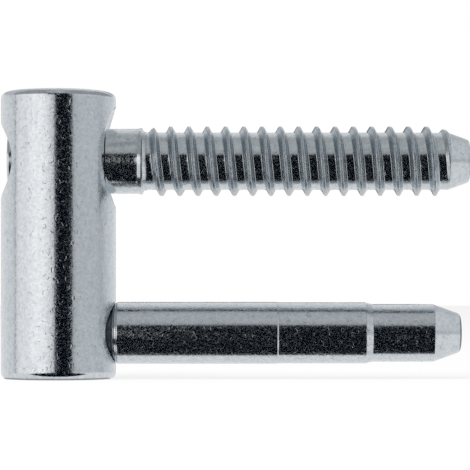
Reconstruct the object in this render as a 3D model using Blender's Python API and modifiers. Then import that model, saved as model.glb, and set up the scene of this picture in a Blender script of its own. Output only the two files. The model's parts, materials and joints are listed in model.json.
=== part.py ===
"""Leaf half of a drill-in door hinge, in metres, +Z up.

The barrel is a steel bar, closed at the top and bored from below for the hinge pin,
with a plain plastic bush in the bore. Two pins reach out along +X into the edge of the
door leaf. The upper one has a coarse thread and turns in a cross hole of the barrel,
driven by a hex key from the far side. The lower one is smooth and pressed into the wall.
The origin is the centre of the barrel's closed top face, so the barrel is below it.
"""

import math

import bmesh
import bpy

# Barrel: its length is what the two pins and the metal beyond them need.
BARREL_DIAMETER = 0.0160
TOP_MARGIN = 0.0096
PIN_SPACING = 0.0240
BOTTOM_MARGIN = 0.0064
TOP_EDGE_RADIUS = 0.00115
BOTTOM_EDGE_RADIUS = 0.00110

# Hinge-pin bore and its bush.
HINGE_PIN_DIAMETER = 0.0070
RUNNING_CLEARANCE = 0.00005
BUSH_WALL = 0.0008
BUSH_EDGE = 0.0003
BUSH_SINK = 0.0003
BORE_CHAMFER = 0.0004
WEB_UNDER_CROSS_HOLE = 0.0040

# Clearance between a piece and the hole that holds it.
SEAT_GAP = 0.0002

# Threaded pin, inside the barrel. A sink or depth is measured from the barrel's surface.
HEAD_DIAMETER = 0.0094
HEAD_LENGTH = 0.0028
HEAD_SINK = 0.00087
HEAD_EDGE = 0.0002
RECESS_CHAMFER = 0.0005
JOURNAL_DIAMETER = 0.0082
END_PLAY = 0.0002
COUNTERSINK_DIAMETER = 0.01314
HEX_ACROSS_FLATS = 0.0050
HEX_DEPTH = 0.0045

# Threaded pin, outside the barrel. A reach is measured from the barrel's surface.
SHANK_DIAMETER = 0.0090
SHANK_REACH = 0.0037
SHANK_EDGE = 0.00015
THREAD_DIAMETER = 0.0097
THREAD_CORE_DIAMETER = 0.00795
THREAD_PITCH = 0.00255
THREAD_CREST_WIDTH = 0.00028
THREAD_BASE_WIDTH = 0.0014
THREAD_PHASE = 0.00132
THREAD_RUN_IN = 0.0029
THREADED_PIN_REACH = 0.04945
THREADED_TIP_LENGTH = 0.0030
THREADED_TIP_TAPER = math.radians(18)
THREADED_TIP_ROUND = 0.0003

# Support pin.
SUPPORT_DIAMETER = 0.00864
SUPPORT_WEB = 0.0008
SUPPORT_RING_RELIEF = 0.00006
SUPPORT_RING_WIDTH = 0.0004
SUPPORT_STEP_REACH = 0.0228
SUPPORT_STEP_RELIEF = 0.00005
SUPPORT_SHOULDER_REACH = 0.0349
SUPPORT_SHOULDER_LENGTH = 0.0011
SUPPORT_END_DIAMETER = 0.00805
SUPPORT_PIN_REACH = 0.0482
SUPPORT_TIP_LENGTH = 0.0038
SUPPORT_TIP_TAPER = math.radians(20)
SUPPORT_TIP_ROUND = 0.0006

# How finely round shapes are cut.
BARREL_STEPS = 72
PIN_STEPS = 48
THREAD_STEPS = 32
ARC_STEPS = 4
SMOOTH_BELOW = math.radians(28)

# How far a cutter goes past the surface that it cuts.
CUT_PAST = 0.002

BARREL_RADIUS = BARREL_DIAMETER / 2
BARREL_LENGTH = TOP_MARGIN + PIN_SPACING + BOTTOM_MARGIN
HEAD_RADIUS = HEAD_DIAMETER / 2
RECESS_RADIUS = HEAD_RADIUS + SEAT_GAP
JOURNAL_RADIUS = JOURNAL_DIAMETER / 2
CROSS_HOLE_RADIUS = JOURNAL_RADIUS + SEAT_GAP
SHANK_RADIUS = SHANK_DIAMETER / 2
BUSH_INNER_RADIUS = HINGE_PIN_DIAMETER / 2 + RUNNING_CLEARANCE
BUSH_OUTER_RADIUS = BUSH_INNER_RADIUS + BUSH_WALL
BORE_RADIUS = BUSH_OUTER_RADIUS + SEAT_GAP
BORE_TOP = -TOP_MARGIN - RECESS_RADIUS - WEB_UNDER_CROSS_HOLE
SUPPORT_RADIUS = SUPPORT_DIAMETER / 2
SUPPORT_HOLE_RADIUS = SUPPORT_RADIUS + SEAT_GAP
SUPPORT_HOLE_FLOOR = BORE_RADIUS + SUPPORT_WEB

ALONG_X = (0.0, math.pi / 2, 0.0)
THREADED_PIN_PLACE = (0.0, 0.0, -TOP_MARGIN)
SUPPORT_PIN_PLACE = (0.0, 0.0, -TOP_MARGIN - PIN_SPACING)


def clear_scene():
    for obj in list(bpy.data.objects):
        bpy.data.objects.remove(obj, do_unlink=True)


def new_collection(name):
    collection = bpy.data.collections.new(name)
    bpy.context.scene.collection.children.link(collection)
    return collection


def material(name, colour, metallic, roughness):
    made = bpy.data.materials.new(name)
    made.use_nodes = True
    shader = made.node_tree.nodes["Principled BSDF"]
    shader.inputs["Base Color"].default_value = (*colour, 1.0)
    shader.inputs["Metallic"].default_value = metallic
    shader.inputs["Roughness"].default_value = roughness
    return made


def arc(centre_r, centre_z, radius, start_deg, end_deg):
    """Points of a profile's rounded edge: 0 degrees is outward, 90 is up."""
    points = []
    for i in range(ARC_STEPS + 1):
        angle = math.radians(start_deg + (end_deg - start_deg) * i / ARC_STEPS)
        across = centre_r + radius * math.cos(angle)
        up = centre_z + radius * math.sin(angle)
        points.append((across, up))
    return points


def turned(name, profile, steps, collection):
    """Turns a profile of (radius, height) points, listed from the top down, about Z."""
    mesh = bpy.data.meshes.new(name)
    points = [(radius, 0.0, height) for radius, height in profile]
    edges = [(i, i + 1) for i in range(len(points) - 1)]
    mesh.from_pydata(points, edges, [])
    obj = bpy.data.objects.new(name, mesh)
    collection.objects.link(obj)
    lathe = obj.modifiers.new("Lathe", "SCREW")
    lathe.axis = "Z"
    lathe.angle = 2 * math.pi
    lathe.steps = steps
    lathe.render_steps = steps
    lathe.use_merge_vertices = True
    lathe.merge_threshold = 1e-6
    return obj


def boolean(obj, other, operation):
    modifier = obj.modifiers.new(other.name, "BOOLEAN")
    modifier.object = other
    modifier.operation = operation
    modifier.solver = "EXACT"


def helper(obj, place=(0.0, 0.0, 0.0), turn=(0.0, 0.0, 0.0)):
    """Marks a shape that only cuts or shapes another one, and places it."""
    obj.location = place
    obj.rotation_euler = turn
    obj.hide_render = True
    obj.display_type = "WIRE"
    return obj


def finished(obj, surface):
    """Bakes the modifiers into the mesh and shades it smooth up to its real edges."""
    bpy.context.view_layer.update()
    graph = bpy.context.evaluated_depsgraph_get()
    mesh = bpy.data.meshes.new_from_object(obj.evaluated_get(graph))
    obj.modifiers.clear()
    obj.data = mesh
    mesh.name = obj.name
    mesh.materials.clear()
    mesh.materials.append(surface)
    mesh.shade_smooth()
    mesh.set_sharp_from_angle(angle=SMOOTH_BELOW)
    return obj


def barrel_blank(collection):
    """The turned bar, its bore and the bore's chamfered mouth, in one profile."""
    top_round = arc(BARREL_RADIUS - TOP_EDGE_RADIUS, -TOP_EDGE_RADIUS, TOP_EDGE_RADIUS, 90, 0)
    bottom_centre = -BARREL_LENGTH + BOTTOM_EDGE_RADIUS
    bottom_round = arc(
        BARREL_RADIUS - BOTTOM_EDGE_RADIUS, bottom_centre, BOTTOM_EDGE_RADIUS, 0, -90
    )
    bore = [
        (BORE_RADIUS + BORE_CHAMFER, -BARREL_LENGTH),
        (BORE_RADIUS, -BARREL_LENGTH + BORE_CHAMFER),
        (BORE_RADIUS, BORE_TOP),
        (0.0, BORE_TOP),
    ]
    return turned("barrel", [(0.0, 0.0)] + top_round + bottom_round + bore, BARREL_STEPS, collection)


def cross_hole_cutter(collection):
    """Recess for the pin's head, hole for its journal, and the countersink at the shank."""
    outside = BARREL_RADIUS + CUT_PAST
    sink_radius = COUNTERSINK_DIAMETER / 2
    sink_floor = BARREL_RADIUS - (sink_radius - CROSS_HOLE_RADIUS)
    recess_floor = -BARREL_RADIUS + HEAD_SINK + HEAD_LENGTH + END_PLAY
    chamfer_floor = -BARREL_RADIUS + RECESS_CHAMFER
    profile = [
        (0.0, outside),
        (sink_radius + CUT_PAST, outside),
        (CROSS_HOLE_RADIUS, sink_floor),
        (CROSS_HOLE_RADIUS, recess_floor),
        (RECESS_RADIUS, recess_floor),
        (RECESS_RADIUS, chamfer_floor),
        (RECESS_RADIUS + RECESS_CHAMFER + CUT_PAST, -outside),
        (0.0, -outside),
    ]
    cutter = turned("cross_hole_cutter", profile, PIN_STEPS, collection)
    return helper(cutter, THREADED_PIN_PLACE, ALONG_X)


def support_hole_cutter(collection):
    """Flat-bottomed hole that holds the support pin in the barrel's wall."""
    outside = BARREL_RADIUS + CUT_PAST
    profile = [
        (0.0, outside),
        (SUPPORT_HOLE_RADIUS, outside),
        (SUPPORT_HOLE_RADIUS, SUPPORT_HOLE_FLOOR),
        (0.0, SUPPORT_HOLE_FLOOR),
    ]
    cutter = turned("support_hole_cutter", profile, PIN_STEPS, collection)
    return helper(cutter, SUPPORT_PIN_PLACE, ALONG_X)


def barrel(parts, cutters, surface):
    obj = barrel_blank(parts)
    boolean(obj, cross_hole_cutter(cutters), "DIFFERENCE")
    boolean(obj, support_hole_cutter(cutters), "DIFFERENCE")
    return finished(obj, surface)


def bearing_bush(parts, surface):
    """Plain bush, flush in the bore, that the hinge pin turns in."""
    top = BORE_TOP - SEAT_GAP
    bottom = -BARREL_LENGTH + BUSH_SINK
    profile = [
        (BUSH_INNER_RADIUS, top),
        (BUSH_OUTER_RADIUS - BUSH_EDGE, top),
        (BUSH_OUTER_RADIUS, top - BUSH_EDGE),
        (BUSH_OUTER_RADIUS, bottom),
        (BUSH_INNER_RADIUS + BUSH_EDGE, bottom),
        (BUSH_INNER_RADIUS, bottom + BUSH_EDGE),
        (BUSH_INNER_RADIUS, top),
    ]
    return finished(turned("bearing_bush", profile, BARREL_STEPS, parts), surface)


def support_pin(parts, surface):
    """Smooth pin: a faint ring at the barrel, a faint step, a shoulder and a tapered tip."""
    tip = BARREL_RADIUS + SUPPORT_PIN_REACH
    taper_start = tip - SUPPORT_TIP_LENGTH
    end_radius = SUPPORT_END_DIAMETER / 2
    round_start = tip - SUPPORT_TIP_ROUND
    taper_run = round_start - taper_start
    taper_radius = end_radius - taper_run * math.tan(SUPPORT_TIP_TAPER)
    tip_round = arc(taper_radius - SUPPORT_TIP_ROUND, round_start, SUPPORT_TIP_ROUND, 90, 0)
    shoulder = BARREL_RADIUS + SUPPORT_SHOULDER_REACH
    step = BARREL_RADIUS + SUPPORT_STEP_REACH
    middle_radius = SUPPORT_RADIUS - SUPPORT_STEP_RELIEF
    ring = BARREL_RADIUS + SUPPORT_RING_RELIEF
    seat = SUPPORT_HOLE_FLOOR + SEAT_GAP
    profile = [(0.0, tip)] + tip_round
    profile += [
        (end_radius, taper_start),
        (end_radius, shoulder + SUPPORT_SHOULDER_LENGTH),
        (middle_radius, shoulder),
        (middle_radius, step),
        (SUPPORT_RADIUS, step - SUPPORT_STEP_RELIEF),
        (SUPPORT_RADIUS, ring),
        (SUPPORT_RADIUS - SUPPORT_RING_RELIEF, ring - SUPPORT_RING_RELIEF),
        (SUPPORT_RADIUS - SUPPORT_RING_RELIEF, ring - SUPPORT_RING_WIDTH),
        (SUPPORT_RADIUS - 2 * SUPPORT_RING_RELIEF, ring - SUPPORT_RING_WIDTH - SUPPORT_RING_RELIEF),
        (SUPPORT_RADIUS - 2 * SUPPORT_RING_RELIEF, seat),
        (0.0, seat),
    ]
    obj = turned("support_pin", profile, PIN_STEPS, parts)
    obj.location = SUPPORT_PIN_PLACE
    obj.rotation_euler = ALONG_X
    return finished(obj, surface)


def thread_rod(cutters):
    """A long threaded bar: one pitch of the thread's outline, screwed round and capped.

    The outline is one pitch tall, so each turn's last edge lies on the next turn's first.
    Its crest crosses the pin's underside THREAD_PHASE outside the barrel, and then each
    pitch along.
    """
    crest_radius = THREAD_DIAMETER / 2
    core_radius = THREAD_CORE_DIAMETER / 2
    half_pitch = THREAD_PITCH / 2
    first_crest = BARREL_RADIUS + THREAD_PHASE - THREAD_PITCH
    turns = math.ceil((THREADED_PIN_REACH - THREAD_PHASE) / THREAD_PITCH) + 2
    outline = [
        (core_radius, first_crest + half_pitch),
        (core_radius, first_crest + THREAD_BASE_WIDTH / 2),
        (crest_radius, first_crest + THREAD_CREST_WIDTH / 2),
        (crest_radius, first_crest - THREAD_CREST_WIDTH / 2),
        (core_radius, first_crest - THREAD_BASE_WIDTH / 2),
        (core_radius, first_crest - half_pitch),
    ]
    obj = turned("thread_rod", outline, THREAD_STEPS, cutters)
    screw = obj.modifiers["Lathe"]
    screw.screw_offset = THREAD_PITCH
    screw.iterations = turns
    bpy.context.view_layer.update()
    graph = bpy.context.evaluated_depsgraph_get()
    mesh = bpy.data.meshes.new_from_object(obj.evaluated_get(graph))
    obj.modifiers.clear()
    obj.data = mesh
    cap_thread_ends(mesh)
    return helper(obj)


def cap_thread_ends(mesh):
    """Welds the turns, then closes each open end with a fan to a point on the axis."""
    shape = bmesh.new()
    shape.from_mesh(mesh)
    bmesh.ops.remove_doubles(shape, verts=shape.verts, dist=1e-6)
    open_edges = [edge for edge in shape.edges if edge.is_boundary]
    middle = sum(edge.verts[0].co.z for edge in open_edges) / len(open_edges)
    lowest = min(vert.co.z for vert in shape.verts) - THREAD_PITCH
    highest = max(vert.co.z for vert in shape.verts) + THREAD_PITCH
    low_point = shape.verts.new((0.0, 0.0, lowest))
    high_point = shape.verts.new((0.0, 0.0, highest))
    for edge in open_edges:
        point = low_point if edge.verts[0].co.z < middle else high_point
        shape.faces.new((edge.verts[0], edge.verts[1], point))
    bmesh.ops.recalc_face_normals(shape, faces=shape.faces)
    shape.to_mesh(mesh)
    shape.free()


def thread_envelope(cutters):
    """What the thread may fill: a run-in cone at the shank and the taper at the tip."""
    clear_radius = THREAD_DIAMETER / 2 + SEAT_GAP
    core_radius = THREAD_CORE_DIAMETER / 2
    tip = BARREL_RADIUS + THREADED_PIN_REACH
    round_start = tip - THREADED_TIP_ROUND
    taper_start = tip - THREADED_TIP_LENGTH
    fall = (round_start - taper_start) * math.tan(THREADED_TIP_TAPER)
    tip_radius = core_radius - fall
    crest_fall = THREADED_TIP_LENGTH * 0.6
    shank_end = BARREL_RADIUS + SHANK_REACH
    tip_round = arc(tip_radius - THREADED_TIP_ROUND, round_start, THREADED_TIP_ROUND, 90, 0)
    profile = [(0.0, tip)] + tip_round
    profile += [
        (core_radius, taper_start),
        (core_radius + SEAT_GAP, taper_start),
        (clear_radius, taper_start - crest_fall),
        (clear_radius, shank_end + THREAD_RUN_IN),
        (core_radius + SEAT_GAP, shank_end),
        (core_radius + SEAT_GAP, shank_end - SHANK_REACH / 4),
        (0.0, shank_end - SHANK_REACH / 4),
    ]
    return helper(turned("thread_envelope", profile, PIN_STEPS, cutters))


def hex_socket_cutter(cutters):
    """Six-sided hole for the key, open at the head's outer face."""
    mesh = bpy.data.meshes.new("hex_socket_cutter")
    shape = bmesh.new()
    corner_radius = HEX_ACROSS_FLATS / math.sqrt(3)
    length = HEX_DEPTH + CUT_PAST
    bmesh.ops.create_cone(
        shape,
        cap_ends=True,
        segments=6,
        radius1=corner_radius,
        radius2=corner_radius,
        depth=length,
    )
    shape.to_mesh(mesh)
    shape.free()
    obj = bpy.data.objects.new("hex_socket_cutter", mesh)
    cutters.objects.link(obj)
    head_face = -BARREL_RADIUS + HEAD_SINK
    return helper(obj, place=(0.0, 0.0, head_face + HEX_DEPTH - length / 2))


def threaded_pin_body(parts):
    """Head, journal and shank, with a cone that seats at the foot of the countersink."""
    head_face = -BARREL_RADIUS + HEAD_SINK
    head_back = head_face + HEAD_LENGTH
    sink_radius = COUNTERSINK_DIAMETER / 2
    seat_shift = END_PLAY * math.sqrt(2)
    journal_end = BARREL_RADIUS - (sink_radius - JOURNAL_RADIUS) + seat_shift
    seat_end = BARREL_RADIUS - (sink_radius - SHANK_RADIUS) + seat_shift
    shank_end = BARREL_RADIUS + SHANK_REACH
    core_radius = THREAD_CORE_DIAMETER / 2
    profile = [
        (0.0, shank_end + THREAD_PITCH),
        (core_radius - SHANK_EDGE, shank_end + THREAD_PITCH),
        (core_radius - SHANK_EDGE, shank_end),
        (SHANK_RADIUS - SHANK_EDGE, shank_end),
        (SHANK_RADIUS, shank_end - SHANK_EDGE),
        (SHANK_RADIUS, seat_end),
        (JOURNAL_RADIUS, journal_end),
        (JOURNAL_RADIUS, head_back),
        (HEAD_RADIUS, head_back),
        (HEAD_RADIUS, head_face + HEAD_EDGE),
        (HEAD_RADIUS - HEAD_EDGE, head_face),
        (0.0, head_face),
    ]
    return turned("threaded_pin", profile, PIN_STEPS, parts)


def threaded_pin(parts, cutters, surface):
    """The turned body with its thread and socket, shaped on Z and then laid along X."""
    rod = thread_rod(cutters)
    boolean(rod, thread_envelope(cutters), "INTERSECT")
    obj = threaded_pin_body(parts)
    boolean(obj, rod, "UNION")
    boolean(obj, hex_socket_cutter(cutters), "DIFFERENCE")
    finished(obj, surface)
    obj.location = THREADED_PIN_PLACE
    obj.rotation_euler = ALONG_X
    return obj


def main():
    clear_scene()
    parts = new_collection("drill_in_hinge_leaf_half")
    cutters = new_collection("cutters")
    zinc = material("zinc_plated_steel", (0.62, 0.65, 0.69), 1.0, 0.22)
    thread_zinc = material("zinc_plated_rolled_thread", (0.58, 0.60, 0.62), 1.0, 0.32)
    pin_zinc = material("zinc_plated_drawn_pin", (0.62, 0.65, 0.69), 1.0, 0.18)
    plastic = material("bearing_plastic", (0.75, 0.74, 0.70), 0.0, 0.45)
    barrel(parts, cutters, zinc)
    bearing_bush(parts, plastic)
    support_pin(parts, pin_zinc)
    threaded_pin(parts, cutters, thread_zinc)


main()
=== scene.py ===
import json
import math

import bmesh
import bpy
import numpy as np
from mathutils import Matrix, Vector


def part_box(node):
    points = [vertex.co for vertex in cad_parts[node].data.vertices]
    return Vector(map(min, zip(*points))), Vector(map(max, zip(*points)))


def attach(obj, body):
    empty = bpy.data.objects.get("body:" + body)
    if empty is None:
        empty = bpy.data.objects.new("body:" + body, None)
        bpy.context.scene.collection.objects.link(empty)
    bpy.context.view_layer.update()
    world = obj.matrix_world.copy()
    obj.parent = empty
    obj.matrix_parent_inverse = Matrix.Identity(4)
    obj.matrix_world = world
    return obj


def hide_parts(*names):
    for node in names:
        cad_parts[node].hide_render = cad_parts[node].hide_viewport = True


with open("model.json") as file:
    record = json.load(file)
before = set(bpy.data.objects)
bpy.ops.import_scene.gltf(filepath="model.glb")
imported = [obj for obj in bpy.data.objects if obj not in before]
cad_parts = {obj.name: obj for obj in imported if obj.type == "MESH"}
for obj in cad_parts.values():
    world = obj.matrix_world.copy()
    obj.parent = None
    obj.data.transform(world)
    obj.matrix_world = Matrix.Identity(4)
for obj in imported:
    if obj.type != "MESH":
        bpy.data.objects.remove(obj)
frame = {"record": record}

# %% [markdown]
# # A zinc-plated drill-in hinge half
# The real object is a steel barrel with two pins that go into the edge of a door leaf.
# Its form is simple, so what makes it look real is how bright metal mirrors a studio:
# crisp dark and pale bands, broken up by fine dents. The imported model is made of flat
# facets, which would show in every mirror band. So each piece is worked out again here
# as a smooth, dense surface of the same size, and takes the place of its solid.

MM = 0.001
bpy.context.view_layer.update()
barrel_low, barrel_high = (np.array(corner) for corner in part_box("barrel"))
thread_low, thread_high = (np.array(corner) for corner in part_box("threaded_pin"))
support_low, support_high = (np.array(corner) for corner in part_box("support_pin"))
bush_low, bush_high = (np.array(corner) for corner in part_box("bearing_bush"))

BARREL_RADIUS = (barrel_high[1] - barrel_low[1]) / 2
BARREL_BOTTOM = barrel_low[2]
THREADED_PIN_Z = frame["record"]["behaviour"]["joints"][0]["pos_m"][2]
SUPPORT_PIN_Z = (support_low[2] + support_high[2]) / 2
SUPPORT_RADIUS = (support_high[2] - support_low[2]) / 2
THREAD_RADIUS = (thread_high[1] - thread_low[1]) / 2
print("barrel", 2 * BARREL_RADIUS / MM, "mm across,", -BARREL_BOTTOM / MM, "mm long")
print("pins", (THREADED_PIN_Z - SUPPORT_PIN_Z) / MM, "mm apart")

# %% [markdown]
# ## The camera
# A catalogue photograph is taken from far away with a long lens, so that upright edges
# stay upright. The camera looks level along +Y, a little above the foot of the barrel,
# and a small upward shift of the lens frames the whole hinge without tilting it.

# %% Camera
IMAGE_PIXELS = 470
PIXELS_PER_METRE = 7150
SHIFT_PIXELS = 65
CAMERA_DISTANCE = 0.3077
CAMERA_X = 0.0247
CAMERA_Z = -0.0290
SENSOR_WIDTH = 36.0
FRAME_WIDTH = IMAGE_PIXELS / PIXELS_PER_METRE


def in_scene(name, data):
    """A new object that is part of the scene."""
    obj = bpy.data.objects.new(name, data)
    bpy.context.scene.collection.objects.link(obj)
    return obj


camera_data = bpy.data.cameras.new("camera")
camera_data.sensor_width = SENSOR_WIDTH
camera_data.lens = SENSOR_WIDTH * CAMERA_DISTANCE / FRAME_WIDTH
camera_data.shift_y = SHIFT_PIXELS / IMAGE_PIXELS
camera_data.clip_start = 0.01
camera_data.clip_end = 20.0
camera = in_scene("camera", camera_data)
camera.location = (CAMERA_X, -CAMERA_DISTANCE, CAMERA_Z)
camera.rotation_euler = (math.radians(90), 0.0, 0.0)
bpy.context.scene.camera = camera
print("lens", round(camera_data.lens, 1), "mm")

# %% [markdown]
# ## Surfaces from numpy grids
# Every shape here is a sheet: a grid of points, worked out as whole arrays. A turned
# piece is a profile swept round an axis, so its sheet has one row for each point of the
# profile and one column for each angle. Several sheets that share an edge become one
# closed mesh when points that lie on each other are welded.

# %% Sheets and meshes
# Points closer together than a micrometre become one, and a crease is sharp past an angle.
WELD = 1e-6
SHARP_ANGLE = math.radians(33)


def quads(rows, columns, wrap, first):
    """Corner numbers of a grid's faces; with wrap, the last column joins the first."""
    across = columns if wrap else columns - 1
    row, column = np.meshgrid(np.arange(rows - 1), np.arange(across), indexing="ij")
    right = (column + 1) % columns
    corners = (
        row * columns + column,
        (row + 1) * columns + column,
        (row + 1) * columns + right,
        row * columns + right,
    )
    return np.stack(corners, axis=-1).reshape(-1, 4) + first


def solid_from(name, sheets):
    """One closed mesh from (points, wrap) sheets. Points on one spot become one point."""
    points, faces, first = [], [], 0
    for grid, wrap in sheets:
        rows, columns = grid.shape[:2]
        points.append(grid.reshape(-1, 3))
        faces.append(quads(rows, columns, wrap, first))
        first += rows * columns
    mesh = bpy.data.meshes.new(name)
    mesh.from_pydata(np.concatenate(points).tolist(), [], np.concatenate(faces).tolist())
    shape = bmesh.new()
    shape.from_mesh(mesh)
    bmesh.ops.remove_doubles(shape, verts=shape.verts, dist=WELD)
    bmesh.ops.recalc_face_normals(shape, faces=shape.faces)
    open_edges = sum(edge.is_boundary for edge in shape.edges)
    shape.to_mesh(mesh)
    shape.free()
    mesh.shade_smooth()
    mesh.set_sharp_from_angle(angle=SHARP_ANGLE)
    mesh.calc_loop_triangles()
    print(name, len(mesh.loop_triangles), "triangles,", open_edges, "open edges")
    return in_scene(name, mesh)


# %% Turned shapes


def angles(count):
    """The angles of one full turn in equal steps, without the last one."""
    return np.arange(count) * 2 * math.pi / count


def held(profile, beside=0.04 * MM):
    """The same profile with a point just beside both ends of each long stretch.

    Smooth shading blends the slopes of a corner's two sides over the whole stretch. The
    extra points keep that blend beside the corner, as on a real turned edge.
    """
    points = np.array(profile, float)
    step = np.diff(points, axis=0)
    length = np.hypot(*step.T)
    share = np.minimum(beside / np.maximum(length, WELD), 0.5)[:, None]
    near = points[:-1] + step * share
    far = points[1:] - step * share
    trio = np.stack([points[:-1], near, far], axis=1)
    keep = np.ones((len(step), 3), bool)
    keep[:, 1:] = (length > 3 * beside)[:, None]
    return np.concatenate([trio[keep], points[-1:]])


def turned_on_z(profile, count):
    """Point (radius, height) at angle a becomes (radius cos a, radius sin a, height)."""
    radius, height = held(profile).T
    around = angles(count)
    x = radius[:, None] * np.cos(around)
    y = radius[:, None] * np.sin(around)
    z = np.broadcast_to(height[:, None], x.shape)
    return np.stack([x, y, z], axis=-1)


def round_x(x, radius, around, axis_z):
    """Points round an axis along X: y = radius cos around, z = axis_z + radius sin around."""
    y = radius * np.cos(around)
    z = axis_z + radius * np.sin(around)
    return np.stack([np.broadcast_to(x, y.shape), y, z], axis=-1)


def turned_on_x(profile, axis_z, count):
    """A profile of points (radius, x), swept round an axis along X."""
    radius, along = held(profile).T
    return round_x(along[:, None], radius[:, None], angles(count), axis_z)


def rounded(start, corner, end, steps=5):
    """Quadratic curve from start to end, pulled towards the corner between them."""
    t = np.linspace(0, 1, steps + 1)[:, None]
    start, corner, end = (np.array(point, float) for point in (start, corner, end))
    curve = (1 - t) ** 2 * start + 2 * t * (1 - t) * corner + t**2 * end
    return [tuple(point) for point in curve]


def arc(centre, radii, start_deg, end_deg, steps):
    """Ellipse arc: 0 degrees points along the profile's first value, 90 its second."""
    turn = np.radians(np.linspace(start_deg, end_deg, steps + 1))
    first = centre[0] + radii[0] * np.cos(turn)
    second = centre[1] + radii[1] * np.sin(turn)
    return list(zip(first.tolist(), second.tolist()))


# %% [markdown]
# ## The barrel
# The real barrel is bar stock: faced and rounded at both ends, bored from below, then
# drilled across. Where a round hole breaks out of a round bar, the edge is a curve that
# no turned profile gives. A Boolean would cut it, but it leaves long thin faces that
# smear the mirror bands. Here the hole is worked out in polar form about its own axis:
# for each direction round the hole, one profile runs out of the barrel's skin, over a
# small rounded rim, down the countersink, through the bar, and out on the other side.
# Each such window ends on a rectangle of the barrel's own grid, so the sheets weld.

# %% Barrel sizes
# FIT_GAP is the gap that the solids keep at each fit. Edges and holes are matched to the
# photograph by tenths of a millimetre, inside the solid's own box.
FIT_GAP = 0.2 * MM
BARREL_COLUMNS = 288
TOP_EDGE_WIDE, TOP_EDGE_TALL = 1.35 * MM, 0.92 * MM
FOOT_EDGE_WIDE, FOOT_EDGE_TALL = 0.75 * MM, 1.10 * MM
BUSH_OUTER_RADIUS = (bush_high[1] - bush_low[1]) / 2
BORE_RADIUS = BUSH_OUTER_RADIUS + FIT_GAP
BORE_CHAMFER = 0.4 * MM
BORE_TOP = bush_high[2] + FIT_GAP
HEAD_FACE = thread_low[0] + 0.38 * MM
HEAD_RADIUS = 5.04 * MM
RECESS_RADIUS = 5.20 * MM
RECESS_FLOOR = HEAD_FACE + 3.0 * MM
RECESS_CHAMFER = 0.15 * MM
JOURNAL_RADIUS = 4.32 * MM
CROSS_HOLE_RADIUS = 4.58 * MM
COUNTERSINK_RADIUS = 6.50 * MM
COUNTERSINK_RISE = 0.52 * MM
SUPPORT_HOLE_RADIUS = 4.06 * MM
SUPPORT_HOLE_FLOOR = BORE_RADIUS + 0.8 * MM
RIM_ROUND = 0.14 * MM
RIM_STEPS = 6
WINDOW_COLUMNS = 40
UPPER_WINDOW_HALF = 7.6 * MM
LOWER_WINDOW_HALF = 5.2 * MM
WINDOW_ROW = 0.2 * MM
SKIN_STEPS = 26
SKIN_CROWDING = 1.25
print("bore", 2 * BORE_RADIUS / MM, "mm wide,", (BORE_TOP - BARREL_BOTTOM) / MM, "mm deep")

# %% Windows round the holes


def skin_x(rho, around):
    """Distance out along X of the barrel's skin, rho from the hole's axis."""
    return np.sqrt(BARREL_RADIUS**2 - (rho * np.cos(around)) ** 2)


def window_edge(half_height):
    """The rectangle round a hole, as (direction, distance) from the hole's axis."""
    rows = round(2 * half_height / WINDOW_ROW)
    side = np.linspace(-half_height, half_height, rows + 1)
    column = np.arange(-WINDOW_COLUMNS, WINDOW_COLUMNS + 1) * 2 * math.pi / BARREL_COLUMNS
    across = BARREL_RADIUS * np.sin(column)
    right = np.full(rows, across[-1])
    top = np.full(2 * WINDOW_COLUMNS, half_height)
    y = np.concatenate([right, across[:0:-1], -right, across[:-1]])
    up = np.concatenate([side[:-1], top, side[:0:-1], -top])
    return np.arctan2(up, y), np.hypot(up, y)


print("window of", len(window_edge(UPPER_WINDOW_HALF)[0]), "points round the cross hole")

# %% Rows of a hole


def joined(*parts):
    """One pair of arrays from parts that are pairs of rows: along X, and from the axis."""
    return [np.concatenate(rows) for rows in zip(*parts)]


def skin_rows(rim, edge, around, side):
    """Rows on the skin from the rim out to the rectangle, closer together at the rim."""
    t = (np.linspace(0, 1, SKIN_STEPS + 1) ** SKIN_CROWDING)[:, None]
    rho = (1 - t) * (rim + RIM_ROUND) + t * edge
    return side * skin_x(rho, around), rho


def rim_rows(inner_x, inner_rho, corner_x, corner_rho, around, side):
    """The small rounded edge between the hole and the skin."""
    outer_rho = corner_rho + RIM_ROUND
    outer_x = side * skin_x(outer_rho, around)
    t = np.linspace(0, 1, RIM_STEPS + 1)[:, None]
    x = (1 - t) ** 2 * inner_x + 2 * t * (1 - t) * corner_x + t**2 * outer_x
    rho = (1 - t) ** 2 * inner_rho + 2 * t * (1 - t) * corner_rho + t**2 * outer_rho
    return x, rho


def cone_rim(cone_radius, around):
    """Where a right-angled countersink, cone_radius wide at its widest, meets the skin.

    The cone has x = R - (cone_radius - rho) and the skin x*x + (rho cos a)^2 = R*R,
    which is a quadratic in rho.
    """
    c = np.cos(around) ** 2 + 1
    gap = BARREL_RADIUS - cone_radius
    return (-gap + np.sqrt(gap**2 + c * (BARREL_RADIUS**2 - gap**2))) / c


def flared_rows(hole_radius, cone_radius, around, edge, side):
    """The end of a hole: the cone out of it, the broken edge and the skin outside.

    Where the skin falls away too fast to meet the cone, the hole's wall meets it instead.
    """
    rim = np.maximum(cone_rim(cone_radius, around), hole_radius)
    rim_x = skin_x(rim, around)
    wide = rim - hole_radius
    back = np.minimum(RIM_ROUND / math.sqrt(2), wide)
    inner_rho = rim - back
    inner_x = rim_x - back - (RIM_ROUND - back * math.sqrt(2))
    wall_end = np.minimum(rim_x - wide, inner_x)
    rounding = rim_rows(side * inner_x, inner_rho, side * rim_x, rim, around, side)
    skin = skin_rows(rim, edge, around, side)
    t = np.linspace(0, 1, 4)[:-1, None]
    cone = side * ((1 - t) * wall_end + t * inner_x), (1 - t) * hole_radius + t * inner_rho
    return joined(cone, rounding, skin)


# %% The two holes


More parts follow.
